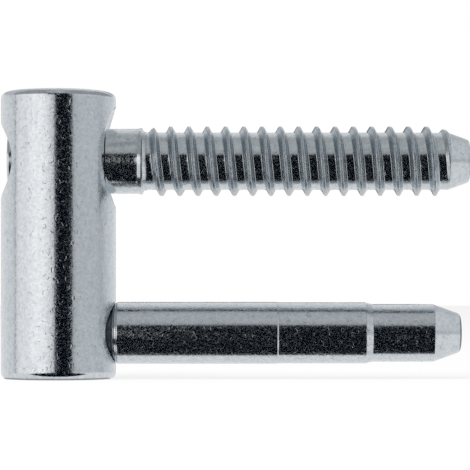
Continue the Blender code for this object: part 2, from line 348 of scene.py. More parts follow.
def cross_hole():
    """The sheet of the threaded pin's hole, from the right-hand skin to the left.

    The countersink is wider above than at the sides and below.
    """
    around, edge = window_edge(UPPER_WINDOW_HALF)
    flat = np.ones_like(around)
    up = np.sin(around)
    sink = COUNTERSINK_RADIUS + COUNTERSINK_RISE * (up + up**2)
    chamfer = RECESS_RADIUS + RECESS_CHAMFER + 0 * up
    right_x, right_rho = flared_rows(CROSS_HOLE_RADIUS, sink, around, edge, 1)
    left = flared_rows(RECESS_RADIUS, chamfer, around, edge, -1)
    floor = [RECESS_FLOOR * flat] * 2, [CROSS_HOLE_RADIUS * flat, RECESS_RADIUS * flat]
    x, rho = joined((right_x[::-1], right_rho[::-1]), floor, left)
    return round_x(x, rho, around, THREADED_PIN_Z)


def support_hole():
    """The sheet of the blind hole that holds the support pin."""
    around, edge = window_edge(LOWER_WINDOW_HALF)
    flat = np.ones_like(around)
    rim = SUPPORT_HOLE_RADIUS * flat
    rim_x = skin_x(rim, around)
    rounding = rim_rows(rim_x - RIM_ROUND, rim, rim_x, rim, around, 1)
    floor = [SUPPORT_HOLE_FLOOR * flat] * 2, [0 * flat, rim]
    x, rho = joined(floor, rounding, skin_rows(rim, edge, around, 1))
    return round_x(x[::-1], rho[::-1], around, SUPPORT_PIN_Z)


# %% The barrel's skin, ends and bore


def skin_band(top, bottom, step, first=0, last=None):
    """A sheet of the straight skin, between two heights and two columns or all round."""
    rows = max(1, round((top - bottom) / step))
    z = np.linspace(top, bottom, rows + 1)
    columns = np.arange(first, BARREL_COLUMNS if last is None else last + 1)
    z, turn = np.meshgrid(z, columns * 2 * math.pi / BARREL_COLUMNS, indexing="ij")
    grid = np.stack([BARREL_RADIUS * np.cos(turn), BARREL_RADIUS * np.sin(turn), z], axis=-1)
    return grid, last is None


def barrel_sheets():
    """The skin between and beside the windows, both ends, the bore and the two holes."""
    half_turn = BARREL_COLUMNS // 2
    top = -TOP_EDGE_TALL
    upper_top = THREADED_PIN_Z + UPPER_WINDOW_HALF
    upper_bottom = THREADED_PIN_Z - UPPER_WINDOW_HALF
    lower_top = SUPPORT_PIN_Z + LOWER_WINDOW_HALF
    lower_bottom = SUPPORT_PIN_Z - LOWER_WINDOW_HALF
    bottom = BARREL_BOTTOM + FOOT_EDGE_TALL
    top_centre = (BARREL_RADIUS - TOP_EDGE_WIDE, top)
    bottom_centre = (BARREL_RADIUS - FOOT_EDGE_WIDE, bottom)
    top_end = [(0.0, 0.0), (BARREL_RADIUS * 0.4, 0.0), (top_centre[0] - 0.1 * MM, 0.0)]
    top_end += arc(top_centre, (TOP_EDGE_WIDE, TOP_EDGE_TALL), 90, 0, 16)
    mouth = BORE_RADIUS + BORE_CHAMFER
    bottom_end = arc(bottom_centre, (FOOT_EDGE_WIDE, FOOT_EDGE_TALL), 0, -90, 16)
    bottom_end += [
        (bottom_centre[0] - 0.1 * MM, BARREL_BOTTOM),
        (mouth + 0.05 * MM, BARREL_BOTTOM),
        (mouth, BARREL_BOTTOM),
        (BORE_RADIUS, BARREL_BOTTOM + BORE_CHAMFER),
        (BORE_RADIUS, BORE_TOP),
        (0.0, BORE_TOP),
    ]
    right, left = WINDOW_COLUMNS, half_turn - WINDOW_COLUMNS
    last = BARREL_COLUMNS - right
    bands = [
        skin_band(top, upper_top, 0.3 * MM),
        skin_band(upper_top, upper_bottom, WINDOW_ROW, right, left),
        skin_band(upper_top, upper_bottom, WINDOW_ROW, half_turn + right, last),
        skin_band(upper_bottom, lower_top, 0.8 * MM),
        skin_band(lower_top, lower_bottom, WINDOW_ROW, right, last),
        skin_band(lower_bottom, bottom, 0.1 * MM),
    ]
    ends = [(turned_on_z(end, BARREL_COLUMNS), True) for end in (top_end, bottom_end)]
    return bands + ends + [(cross_hole(), True), (support_hole(), True)]


barrel = solid_from("barrel_turned", barrel_sheets())
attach(barrel, "leaf_knuckle")
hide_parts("barrel")

# %% [markdown]
# ## The threaded pin
# Its thread is rolled: hard dies press the roots in and squeeze the crests up, which
# leaves a shallow seam along each crest. A thread could be a profile with a Screw
# modifier, but its two ends would need cutting. Here the grid itself is sheared: each
# column starts a little further along than the one before, by one pitch per turn. Grid
# lines then run along the crests, and the ends are flat because positions are clipped.

# %% Thread sizes
PIN_COLUMNS = 180
THREAD_PITCH = 2.55 * MM
CREST_HEIGHT = 0.875 * MM
THREAD_CORE_RADIUS = THREAD_RADIUS - CREST_HEIGHT
CREST_PHASE = 8 * MM + 1.32 * MM
SHANK_RADIUS = 4.5 * MM
SHANK_SWELL_START = 10.84 * MM
SHANK_SWELL_END = 11.64 * MM
SHANK_SWELL = 0.125 * MM
RUN_OUT_END = 12.45 * MM
RUN_OUT_SLOPE = math.tan(math.radians(20))
THREAD_START = 12.0 * MM
THREAD_FULL = 13.9 * MM
THREAD_FADES = 52.8 * MM
THREAD_END = 54.45 * MM
END_HEIGHT = 0.30
TIP = thread_high[0]
TIP_RADIUS = 3.06 * MM
TIP_ROUND = 0.40 * MM
HEX_ACROSS_FLATS = 5.0 * MM
HEX_DEPTH = 4.5 * MM
HEX_CHAMFER = 0.25 * MM
HEX_MOUTH_RADIUS = 3.05 * MM
DRILL_CONE = 0.9 * MM
SEAT = 6.62 * MM

# Height of the tooth over the root, by distance from the middle of the crest, in mm. The
# dip in its middle is the seam of the rolled crest.
TOOTH = np.array(
    [
        (0.00, 0.845), (0.05, 0.855), (0.10, 0.874), (0.15, 0.865), (0.20, 0.825),
        (0.27, 0.720), (0.36, 0.560), (0.46, 0.375), (0.56, 0.200), (0.66, 0.050),
        (0.70, 0.012), (0.75, 0.000), (1.00, 0.000), (1.275, 0.000),
    ]
)
print("thread", 2 * THREAD_RADIUS / MM, "mm across, pitch", THREAD_PITCH / MM, "mm")

# %% Thread surface


def tooth_height(offset):
    """Height over the root at a distance along X from the nearest crest's middle."""
    near = np.abs((offset + THREAD_PITCH / 2) % THREAD_PITCH - THREAD_PITCH / 2)
    return np.interp(near / MM, TOOTH[:, 0], TOOTH[:, 1]) * MM


def smooth_step(value, low, high):
    """0 below low, 1 above high, and 3t^2 - 2t^3 between them."""
    t = np.clip((value - low) / (high - low), 0, 1)
    return t * t * (3 - 2 * t)


def thread_fade(x):
    """How much of the tooth is formed: none at the shank, part of it at the tip's cone."""
    fall = np.clip((x - THREAD_FADES) / (THREAD_END - THREAD_FADES), 0, 1)
    return smooth_step(x, THREAD_START, THREAD_FULL) * (1 - (1 - END_HEIGHT) * fall)


def thread_radius(x, turn):
    """The crest is where x is a whole number of pitches from the crest's own line."""
    advance = THREAD_PITCH * (turn + math.pi / 2) / (2 * math.pi)
    run_out = RUN_OUT_SLOPE * np.clip(RUN_OUT_END - x, 0, None)
    tooth = tooth_height(x - advance - CREST_PHASE) * thread_fade(x)
    return THREAD_CORE_RADIUS + run_out + tooth


def thread_sheet():
    """Sheared grid: row i, column a lies at x = row's start + pitch * a / full turn."""
    offsets = np.concatenate([-TOOTH[:0:-1, 0], TOOTH[:-1, 0]]) * MM
    first_turn = math.floor((THREAD_START - CREST_PHASE) / THREAD_PITCH) - 1
    last_turn = math.ceil((THREAD_END - CREST_PHASE) / THREAD_PITCH) + 1
    turns = np.arange(first_turn, last_turn)
    starts = (turns[:, None] * THREAD_PITCH + offsets).ravel() + CREST_PHASE
    share = np.arange(PIN_COLUMNS + 1) / PIN_COLUMNS
    x = np.clip(starts[:, None] + THREAD_PITCH * share, THREAD_START, THREAD_END)
    turn = np.broadcast_to(2 * math.pi * share - math.pi / 2, x.shape)
    return round_x(x, thread_radius(x, turn), turn, THREADED_PIN_Z)


# %% Ends of the threaded pin


def hex_ring(x):
    """A ring at x on a hexagon: radius = half the width across flats / cos(from a flat)."""
    around = angles(PIN_COLUMNS)
    sixth = math.pi / 3
    from_flat = (around + sixth / 2) % sixth - sixth / 2
    return round_x(x, HEX_ACROSS_FLATS / 2 / np.cos(from_flat), around, THREADED_PIN_Z)


def pin_head_sheet():
    """Socket floor, its six walls, the head, the journal, the seat and the shank."""
    socket_floor = HEAD_FACE + HEX_DEPTH
    drill_point = turned_on_x([(0.0, socket_floor + DRILL_CONE)], THREADED_PIN_Z, PIN_COLUMNS)[0]
    rows = [drill_point, hex_ring(socket_floor), hex_ring(HEAD_FACE + HEX_CHAMFER)]
    profile = [(HEX_MOUTH_RADIUS, HEAD_FACE)]
    profile += rounded(
        (HEAD_RADIUS - 0.35 * MM, HEAD_FACE),
        (HEAD_RADIUS, HEAD_FACE),
        (HEAD_RADIUS, HEAD_FACE + 0.3 * MM),
    )
    profile += [
        (HEAD_RADIUS, RECESS_FLOOR - 0.4 * MM),
        (HEAD_RADIUS, RECESS_FLOOR - FIT_GAP),
        (JOURNAL_RADIUS, RECESS_FLOOR - FIT_GAP),
        (JOURNAL_RADIUS, SEAT),
        (SHANK_RADIUS, SEAT + SHANK_RADIUS - JOURNAL_RADIUS),
    ]
    swell = SHANK_RADIUS + SHANK_SWELL
    run_out = THREAD_CORE_RADIUS + RUN_OUT_SLOPE * (RUN_OUT_END - THREAD_START)
    profile += [
        (SHANK_RADIUS, SHANK_SWELL_START),
        (SHANK_RADIUS + 0.005 * MM, SHANK_SWELL_START + 0.10 * MM),
        (SHANK_RADIUS + 0.025 * MM, SHANK_SWELL_START + 0.35 * MM),
        (swell, SHANK_SWELL_END),
        (swell, SHANK_SWELL_END + 0.06 * MM),
        (swell - 0.10 * MM, SHANK_SWELL_END + 0.14 * MM),
        (run_out + 0.05 * MM, SHANK_SWELL_END + 0.24 * MM),
        (run_out, THREAD_START),
    ]
    grid = turned_on_x(profile, THREADED_PIN_Z, PIN_COLUMNS)
    return np.concatenate([np.stack(rows), grid])


def pin_tip_sheet():
    """What is left of the crest, then the tapered tip with its rounded end."""
    around = angles(PIN_COLUMNS)
    x = np.full(PIN_COLUMNS, THREAD_END)
    thread_ring = round_x(x, thread_radius(x, around), around, THREADED_PIN_Z)
    cone_start = THREAD_END + 0.22 * MM
    profile = rounded(
        (THREAD_CORE_RADIUS, THREAD_END + 0.10 * MM),
        (THREAD_CORE_RADIUS, cone_start - 0.04 * MM),
        (THREAD_CORE_RADIUS - 0.05 * MM, cone_start),
        3,
    )
    profile += rounded(
        (TIP_RADIUS, TIP - TIP_ROUND),
        (TIP_RADIUS - 0.10 * MM, TIP - 0.12 * MM),
        (TIP_RADIUS - 0.35 * MM, TIP - 0.08 * MM),
        6,
    )
    profile += [(TIP_RADIUS - 0.80 * MM, TIP - 0.01 * MM), (1.2 * MM, TIP), (0.0, TIP)]
    return np.concatenate([thread_ring[None], turned_on_x(profile, THREADED_PIN_Z, PIN_COLUMNS)])


# %% Threaded pin
threaded_pin = solid_from(
    "threaded_pin_rolled",
    [(pin_head_sheet(), True), (thread_sheet(), False), (pin_tip_sheet(), True)],
)
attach(threaded_pin, "threaded_pin")
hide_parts("threaded_pin")

# %% [markdown]
# ## The support pin
# This pin is drawn wire, cut off and turned down at its far end. It is pressed into the
# barrel's wall, so a relieved neck shows just outside the hole, between two fine rings.
# All of it is one profile swept round the pin's axis.

# %% Support pin
SUPPORT_COLUMNS = 192
TENON_RADIUS = 3.90 * MM
NECK_RADIUS = 3.50 * MM
# Radius and place of the fine rings between the neck and the full pin, in mm.
NECK_RINGS = ((3.98, 7.80), (4.00, 7.87), (4.14, 7.98), (4.16, 8.07), (4.19, 8.19), (4.28, 8.25))
STEP = BARREL_RADIUS + 22.8 * MM
SHOULDER = BARREL_RADIUS + 34.9 * MM
SHOULDER_LENGTH = 0.95 * MM
SUPPORT_END_RADIUS = 4.025 * MM
SUPPORT_TIP = support_high[0]
SUPPORT_TAPER_START = SUPPORT_TIP - 3.8 * MM
SUPPORT_TIP_RADIUS = 2.86 * MM
SUPPORT_TIP_ROUND = 0.6 * MM


def support_profile():
    """Points (radius, x) from the end in the wall, over neck, step and shoulder, to the tip."""
    seat = support_low[0]
    middle = SUPPORT_RADIUS - 0.06 * MM
    end = SHOULDER + SHOULDER_LENGTH
    profile = [
        (0.0, seat),
        (TENON_RADIUS, seat),
        (TENON_RADIUS, 6.45 * MM),
        (NECK_RADIUS, 6.60 * MM),
        (NECK_RADIUS, 7.50 * MM),
        *((radius * MM, x * MM) for radius, x in NECK_RINGS),
        (SUPPORT_RADIUS, 8.38 * MM),
        (SUPPORT_RADIUS, STEP - 0.4 * MM),
        (SUPPORT_RADIUS, STEP - 0.24 * MM),
        (middle, STEP - 0.02 * MM),
        (middle, STEP + 0.1 * MM),
        (middle, SHOULDER - 0.1 * MM),
        (middle, SHOULDER - 0.02 * MM),
        (middle - 0.01 * MM, SHOULDER + 0.03 * MM),
        (SUPPORT_END_RADIUS + 0.01 * MM, end - 0.03 * MM),
        (SUPPORT_END_RADIUS, end + 0.02 * MM),
        (SUPPORT_END_RADIUS, end + 0.15 * MM),
        (SUPPORT_END_RADIUS, SUPPORT_TAPER_START - 0.15 * MM),
    ]
    profile += rounded(
        (SUPPORT_END_RADIUS, SUPPORT_TAPER_START - 0.12 * MM),
        (SUPPORT_END_RADIUS, SUPPORT_TAPER_START),
        (SUPPORT_END_RADIUS - 0.045 * MM, SUPPORT_TAPER_START + 0.12 * MM),
        4,
    )
    profile += rounded(
        (SUPPORT_TIP_RADIUS, SUPPORT_TIP - SUPPORT_TIP_ROUND),
        (SUPPORT_TIP_RADIUS - 0.2 * MM, SUPPORT_TIP),
        (SUPPORT_TIP_RADIUS - 0.75 * MM, SUPPORT_TIP),
        10,
    )
    profile += [(1.0 * MM, SUPPORT_TIP), (0.0, SUPPORT_TIP)]
    return profile


support_pin = solid_from(
    "support_pin_drawn",
    [(turned_on_x(support_profile(), SUPPORT_PIN_Z, SUPPORT_COLUMNS), True)],
)
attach(support_pin, "leaf_knuckle")
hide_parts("support_pin")

# %% [markdown]
# ## The bearing bush
# The bush is a plain plastic tube in the bore, with its edges broken. It is seen only
# from below. It keeps the hinge pin from rubbing on the barrel's steel.

# %% Bearing bush
BUSH_COLUMNS = 144
BUSH_INNER_RADIUS = 3.55 * MM
BUSH_EDGE = 0.25 * MM


def bush_profile():
    """Points (radius, height) round the wall of the tube, with a round at three edges."""
    top, bottom = bush_high[2], bush_low[2]
    profile = [(BUSH_INNER_RADIUS, top), (BUSH_OUTER_RADIUS - BUSH_EDGE, top)]
    broken = (BUSH_EDGE, BUSH_EDGE)
    profile += arc((BUSH_OUTER_RADIUS - BUSH_EDGE, top - BUSH_EDGE), broken, 90, 0, 4)
    profile += [(BUSH_OUTER_RADIUS, bottom + BUSH_EDGE)]
    profile += arc((BUSH_OUTER_RADIUS - BUSH_EDGE, bottom + BUSH_EDGE), broken, 0, -90, 4)
    profile += arc((BUSH_INNER_RADIUS + BUSH_EDGE, bottom + BUSH_EDGE), broken, -90, -180, 4)
    profile += [(BUSH_INNER_RADIUS, top)]
    return profile


bush = solid_from("bearing_bush_moulded", [(turned_on_z(bush_profile(), BUSH_COLUMNS), True)])
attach(bush, "leaf_knuckle")
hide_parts("bearing_bush")

# %% [markdown]
# ## Finishes
# Bright zinc plating is a thin, slightly blue metal coat. It copies the steel under it,
# so drawn bar keeps fine lines along its length, and handling in bulk leaves small dents.
# A mirror-like metal shows such marks only through its reflections. So the colour stays
# nearly even, and the work is in a bump pattern with heights in micrometres.

# %% Nodes and colours


def srgb(code):
    """Linear colour of a #RRGGBB code: the sRGB curve, undone for each channel."""
    parts = np.array([int(code[i : i + 2], 16) for i in (1, 3, 5)]) / 255
    linear = np.where(parts <= 0.04045, parts / 12.92, ((parts + 0.055) / 1.055) ** 2.4)
    return (*linear.tolist(), 1.0)


print("#808080 is", round(srgb("#808080")[0], 3), "of white in linear light")


def add(tree, kind, values=None, links=None, **settings):
    """One node: settings are its own properties, values and links are for its sockets.

    kind is its type's name without the word ShaderNode that all of them start with.
    """
    node = tree.nodes.new("ShaderNode" + kind)
    for name, value in settings.items():
        setattr(node, name, value)
    for socket, value in (values or {}).items():
        node.inputs[socket].default_value = value
    for socket, (source, output) in (links or {}).items():
        tree.links.new(source.outputs[output], node.inputs[socket])
    return node


def per_mm(size_mm):
    """Scale of a pattern whose cells are size_mm wide, on coordinates in metres."""
    return 1000 / size_mm


def new_material(name):
    """A material, and its node tree with nothing in it yet."""
    made = bpy.data.materials.new(name)
    made.use_nodes = True
    made.node_tree.nodes.clear()
    return made, made.node_tree


# %% Patterns of nodes
# Each of these gives back an output as a pair: the node, and the output's name or number.


def noise(tree, place, size_mm, detail, fineness=0.5):
    """A cloudy pattern with clouds of size_mm and a number of finer ones on top of it."""
    values = {"Scale": per_mm(size_mm), "Detail": detail, "Roughness": fineness}
    return add(tree, "TexNoise", values, {"Vector": place}), "Fac"


def remapped(tree, source, start, end, to=(0.0, 1.0), **settings):
    """The source's range from start to end, stretched onto the range to and cut off there."""
    span = dict(zip(("From Min", "From Max", "To Min", "To Max"), (start, end, *to)))
    return add(tree, "MapRange", span, {"Value": source}, **settings), "Result"


def combined(tree, operation, first, second, **settings):
    """Two outputs joined by a Math node's operation, such as ADD or MAXIMUM."""
    return add(tree, "Math", {}, {0: first, 1: second}, operation=operation, **settings), 0


def added_up(tree, patterns):
    """The sum of patterns, each given as (its output, how much of it)."""
    total = None
    for source, amount in patterns:
        links = {0: source} | ({2: total} if total else {})
        total = add(tree, "Math", {1: amount, 2: 0.0}, links, operation="MULTIPLY_ADD"), 0
    return total


# %% Dents


def knocks(tree, place, cell_mm, share, inner, outer):
    """Hollows left by other parts: one in each chosen cell, each with its own depth.

    A share of the cells has one. It is flat out to inner and ends at outer, both as shares
    of a cell. Value 0 is untouched metal, and -1 the floor of the deepest hollow.
    """
    scale = {"Scale": per_mm(cell_mm), "Randomness": 1.0}
    cells = add(tree, "TexVoronoi", scale, {"Vector": place})
    chance = add(tree, "SeparateColor", {}, {"Color": (cells, "Color")})
    depth = remapped(tree, (chance, "Red"), 1.0 - share, 1.0)
    ends = inner, outer, (-1.0, 0.0)
    hollow = remapped(tree, (cells, "Distance"), *ends, interpolation_type="SMOOTHSTEP")
    return combined(tree, "MULTIPLY", depth, hollow)


def uneven(tree, place, size_mm, reach_mm):
    """Coordinates pushed about at random, so that round marks come out ragged."""
    drift, _ = noise(tree, place, size_mm, 1.0)
    links = {0: (drift, "Color")}
    centred = add(tree, "VectorMath", {1: (0.5, 0.5, 0.5)}, links, operation="SUBTRACT")
    reach = {1: (reach_mm * MM, reach_mm * MM, reach_mm * MM)}
    links = {0: (centred, 0), 2: place}
    return add(tree, "VectorMath", reach, links, operation="MULTIPLY_ADD"), 0


# %% Scratches


def strokes(tree, place, size_mm, width, share):
    """Fine curved scratches: thin lines where a cloudy pattern crosses its middle value.

    A second pattern breaks them up, so that only a share of each line is there.
    """
    cloud = noise(tree, place, size_mm, 1.0)
    away = add(tree, "Math", {1: 0.5}, {0: cloud}, operation="SUBTRACT")
    away = add(tree, "Math", {}, {0: (away, 0)}, operation="ABSOLUTE")
    line = remapped(tree, (away, 0), 0.0, width, (1.0, 0.0))
    values = {"Scale": per_mm(size_mm * 0.8), "Detail": 2.0, "W": 3.0}
    broken = add(tree, "TexNoise", values, {"Vector": place}, noise_dimensions="4D")
    there = remapped(tree, (broken, "Fac"), 1.0 - share, 1.08 - share)
    return combined(tree, "MULTIPLY", line, there)


# %% Masks by place


def region(tree, place, axis_z, radii, along, operation="MULTIPLY"):
    """A mask by place: one part rises from 0 to 1 between two distances from a pin's axis.

    The other does the same between two positions along X. The operation joins them.
    """
    flat = {"Location": (0.0, 0.0, -axis_z), "Scale": (0.0, 1.0, 1.0)}
    centred = add(tree, "Mapping", flat, {"Vector": place})
    radius = add(tree, "VectorMath", {}, {0: (centred, "Vector")}, operation="LENGTH")
    position = add(tree, "SeparateXYZ", {}, {"Vector": place})
    out = remapped(tree, (radius, "Value"), *radii)
    further = remapped(tree, (position, "X"), *along)
    return combined(tree, operation, out, further)


# %% Sizes of the marks
# Sizes in millimetres. A pixel of the picture is 0.14 mm wide. The real grain is about
# 0.01 mm, drawing lines are about 0.05 mm and scratches 0.02 mm wide, so these three are
# drawn coarser, as wide as they need to be to show. Dents and stains have their real size.
GRAIN = 0.26
LINES = 0.40
STAINS = 0.55
DENT_CELL, DENTED_SHARE = 1.35, 0.62
DENT_INNER, DENT_OUTER = 0.02, 0.17
DENT_STRETCH = (1.0, 1.0, 0.55)
RAGGED, RAGGED_REACH = 0.30, 0.22
SCRATCH_CURVE, SCRATCH_WIDTH, SCRATCHED_SHARE = 1.1, 0.035, 0.47
# What a scratch and a rolled flank add to the roughness and to the choice of tone.
SCRATCH_DULLS, SCRATCH_DARKENS = 0.16, -1.1
FLANK_DULLS, FLANK_DARKENS = 0.10, -0.8
# A darker colour for the rounded edge of each tip.
DARK_TIP_EDGE = "#4A5258"
# Painted shade: a dark colour, with no metal, for the support pin's recessed neck.
NECK_PAINTED_SHADE = "#39424A"
MICRON = 1e-6
print("dents up to", 2 * DENT_OUTER * DENT_CELL, "mm wide")

# %% Zinc plating


def plating(name, colours, along, um, rough, rim=None, flanks=None, shaded_groove=None):
    """Bright zinc on drawn steel: an even colour, with grain, lines, dents and scratches.

    colours are its dull and its bright tone. along scales the coordinates so that the
    lines run along the piece's own axis. um gives the heights of grain, lines, dents and
    scratches in micrometres. rough is the roughness of its smooth and its dull grains.
    The last three are regions. rim is the rounded edge of a tip, which gets a darker colour.
    flanks is what rolling leaves duller. The third marks a pin's recessed neck: in the neck,
    a dark colour that is no metal is painted shade, and outside it the plating shows.
    """
    made, tree = new_material(name)
    place = (add(tree, "TexCoord"), "Object")
    stretched = (add(tree, "Mapping", {"Scale": along}, {"Vector": place}), "Vector")
    grain = noise(tree, place, GRAIN, 2.0, 0.65)
    lines = noise(tree, stretched, LINES, 3.0, 0.60)
    stains = noise(tree, place, STAINS, 5.0, 0.75)
    ragged = uneven(tree, place, RAGGED, RAGGED_REACH)
    tall = (add(tree, "Mapping", {"Scale": DENT_STRETCH}, {"Vector": ragged}), "Vector")
    dents = knocks(tree, tall, DENT_CELL, DENTED_SHARE, DENT_INNER, DENT_OUTER)
    scratches = strokes(tree, ragged, SCRATCH_CURVE, SCRATCH_WIDTH, SCRATCHED_SHARE)
    heights = [(grain, um["grain"]), (lines, um["lines"])]
    heights += [(dents, um["dents"]), (scratches, -um["scratches"])]
    dullness = [(remapped(tree, grain, 0.30, 0.80, rough), 1.0), (scratches, SCRATCH_DULLS)]
    brightness = [(remapped(tree, stains, 0.36, 0.60), 1.0), (scratches, SCRATCH_DARKENS)]
    if flanks:
        rolled = region(tree, place, *flanks)
        dullness.append((rolled, FLANK_DULLS))
        brightness.append((rolled, FLANK_DARKENS))
    tones = {"A": srgb(colours[0]), "B": srgb(colours[1])}
    links = {"Factor": added_up(tree, brightness)}
    tone = add(tree, "Mix", tones, links, data_type="RGBA", clamp_factor=False)
    if rim:
        # The rounded edge of the tip gets a darker colour.
        links = {"Factor": region(tree, place, *rim), "A": (tone, "Result")}
        tone = add(tree, "Mix", {"B": srgb(DARK_TIP_EDGE)}, links, data_type="RGBA")
    links = {"Height": added_up(tree, heights)}
    relief = add(tree, "Bump", {"Strength": 1.0, "Distance": MICRON}, links)
    surface = {"Roughness": added_up(tree, dullness), "Normal": (relief, "Normal")}
    # In the neck the dark colour and the lack of metal are painted shade of the recess.
    if shaded_groove:
        unshaded = region(tree, place, *shaded_groove)
        links = {"Factor": unshaded, "B": (tone, "Result")}
        tone = add(tree, "Mix", {"A": srgb(NECK_PAINTED_SHADE)}, links, data_type="RGBA")
        surface["Metallic"] = unshaded
    surface["Base Color"] = (tone, "Result")
    shader = add(tree, "BsdfPrincipled", {"Metallic": 1.0}, surface)
    add(tree, "OutputMaterial", {}, {"Surface": (shader, "BSDF")})
    print(name, len(tree.nodes), "nodes")
    return made


# %% The three zinc finishes
# Drawn bar, cut to length and plated in a barrel with hundreds of others.
bar_zinc = plating(
    "bright_zinc_on_turned_bar",
    ("#BDC4CA", "#D3D7DB"),
    (1.0, 1.0, 0.10),
    {"grain": 4.0, "lines": 5.0, "dents": 30.0, "scratches": 12.0},
    (0.05, 0.33),
)
# Rolling presses the surface between hard dies, which leaves it a little less even.
rolled_zinc = plating(
    "bright_zinc_on_rolled_thread",
    ("#BAC1C6", "#CFD4D7"),
    (1.0, 0.2, 0.2),
    {"grain": 7.0, "lines": 16.0, "dents": 18.0, "scratches": 8.0},
    (0.07, 0.34),
    rim=(THREADED_PIN_Z, (2.20 * MM, 2.50 * MM), (TIP - 0.24 * MM, TIP - 0.10 * MM)),
    flanks=(
        THREADED_PIN_Z,
        (THREAD_CORE_RADIUS, THREAD_CORE_RADIUS + 0.12 * MM),
        (THREAD_START, RUN_OUT_END),
    ),
)
# Drawn wire is the smoothest of the three.
wire_zinc = plating(
    "bright_zinc_on_drawn_wire",
    ("#BDC4CA", "#D3D7DB"),
    (0.08, 1.0, 1.0),
    {"grain": 4.0, "lines": 4.0, "dents": 20.0, "scratches": 8.0},
    (0.08, 0.35),
    rim=(
        SUPPORT_PIN_Z,
        (2.10 * MM, 2.30 * MM),
        (SUPPORT_TIP - 0.32 * MM, SUPPORT_TIP - 0.16 * MM),
    ),
    # The recessed neck is given painted shade.
    shaded_groove=(
        SUPPORT_PIN_Z,
        (NECK_RADIUS + 0.15 * MM, NECK_RADIUS + 0.48 * MM),
        (8.0 * MM, 8.3 * MM),
        "MAXIMUM",
    ),
)
barrel.data.materials.append(bar_zinc)
threaded_pin.data.materials.append(rolled_zinc)
support_pin.data.materials.append(wire_zinc)

# %% [markdown]
# ## The bush's plastic
# Acetal is a milky, slippery engineering plastic. Moulding leaves it smooth but not
# glossy, with a very faint cloudiness where the melt flowed.

# %% Moulded acetal
CLOUDS = 2.5
# A mould's fine texture is about 0.03 mm wide. It is drawn coarser, so that it shows.
MOULD_TEXTURE = 0.15

acetal, acetal_tree = new_material("moulded_acetal")
acetal_place = (add(acetal_tree, "TexCoord"), "Object")
clouds = noise(acetal_tree, acetal_place, CLOUDS, 2.0)
mould_texture = noise(acetal_tree, acetal_place, MOULD_TEXTURE, 1.0)
milks = {"A": srgb("#DEDCD4"), "B": srgb("#E8E6DF")}
milk = add(acetal_tree, "Mix", milks, {"Factor": clouds}, data_type="RGBA")
mould_depth = {"Strength": 1.0, "Distance": 2 * MICRON}
mould_relief = add(acetal_tree, "Bump", mould_depth, {"Height": mould_texture})
acetal_surface = {"Base Color": (milk, "Result"), "Normal": (mould_relief, "Normal")}
acetal_shader = add(acetal_tree, "BsdfPrincipled", {"Roughness": 0.38, "IOR": 1.48}, acetal_surface)
add(acetal_tree, "OutputMaterial", {}, {"Surface": (acetal_shader, "BSDF")})
bush.data.materials.append(acetal)
print("moulded_acetal", len(acetal_tree.nodes), "nodes")

# %% [markdown]
# ## The studio
# Polished metal is lit by what it mirrors, not by lamps. Product photographers put cards
# round it: white ones for the bright bands, black ones for the dark bands that draw the
# edges. An image of a studio could do that, but a dome worked out here has just the bands
# that this hinge needs, with crisp edges. The dome and the cards are seen only by mirror
# rays, so they don't show in the picture. Their brightness is an attribute of their mesh.

# %% Cards


def card_material():
    """A card that glows by what its mesh says at each point, whatever falls on it."""
    made, tree = new_material("studio_card")
    level = add(tree, "Attribute", attribute_name="level")
    links = {"Color": (level, "Color"), "Strength": (level, "Alpha")}
    glow = add(tree, "Emission", {}, links)
    add(tree, "OutputMaterial", {}, {"Surface": (glow, "Emission")})
    made.cycles.emission_sampling = "NONE"
    return made


studio_card = card_material()


def card(name, grid, colour):
    """A card over a grid of points, seen by mirror rays alone, with a colour at each."""
    rows, columns = grid.shape[:2]
    mesh = bpy.data.meshes.new(name)
    mesh.from_pydata(grid.reshape(-1, 3).tolist(), [], quads(rows, columns, False, 0).tolist())
    layer = mesh.attributes.new("level", "FLOAT_COLOR", "POINT")
    value = np.empty((rows, columns, 4))
    value[..., :3] = colour
    value[..., 3] = 1.0
    layer.data.foreach_set("color", value.ravel())
    mesh.materials.append(studio_card)
    obj = in_scene(name, mesh)
    for ray in ("camera", "diffuse", "shadow", "transmission", "volume_scatter"):
        setattr(obj, "visible_" + ray, False)
    print(name, rows, "by", columns, "points")
    return obj


# %% Levels of the studio
# Brightness round the studio at the height of the object, by direction in degrees:
# 0 is the camera's side, 90 is +X, the side that the pins point to.
WALL_LEVELS = np.array(
    [
        (-180, 0.92), (-135, 0.96), (-120, 0.95), (-112, 0.90), (-103, 0.90), (-98, 0.88),
        (-93.5, 0.86), (-92, 0.40), (-90, 0.40), (-88.5, 0.98), (-80, 1.07), (-71, 1.12),
        (-64, 1.08), (-57, 1.18), (-45, 1.27), (-32, 1.30), (-24, 1.25), (-18, 1.17),
        (-12, 1.05), (-6, 0.92), (0, 0.80), (32, 0.60), (42, 0.65), (60, 0.67), (90, 0.67),
        (100, 0.60), (110, 0.73), (121, 0.80), (136, 0.88), (180, 0.92),
    ]
)
# Brightness of the roof, a vault over the pins: 0 degrees is level with the camera's
# side, 90 is overhead and 180 is level at the back.
ROOF_LEVELS = np.array(
    [
        (17, 0.42), (25, 0.46), (32, 0.50), (40, 0.55), (52, 0.59), (62, 0.59), (75, 0.56),
        (90, 0.53), (104, 0.52), (111, 0.66), (119, 0.80), (128, 0.86), (140, 0.92),
        (163, 0.95),
    ]
)
TABLE = 0.95
# The wall blends into the roof between two heights, and into the table below it. Past
# these angles to the side, where only the pins' tips look, both come closer and the roof
# is brighter. In between, the roof is a little dimmer to both sides.
ROOF_FROM, ROOF_TO = 15.0, 20.0
TABLE_FROM, TABLE_TO = 7.0, 13.0
TIPS_FROM, TIPS_TO = 23.0, 33.0
TIP_ROOF_FROM, TIP_ROOF_TO = 6.0, 9.0
TIP_TABLE_FROM, TIP_TABLE_TO = 5.0, 7.0
TIP_ROOF = 0.80
DIM_FROM, DIM_TO, DIM_BY = 6.0, 16.0, 0.26
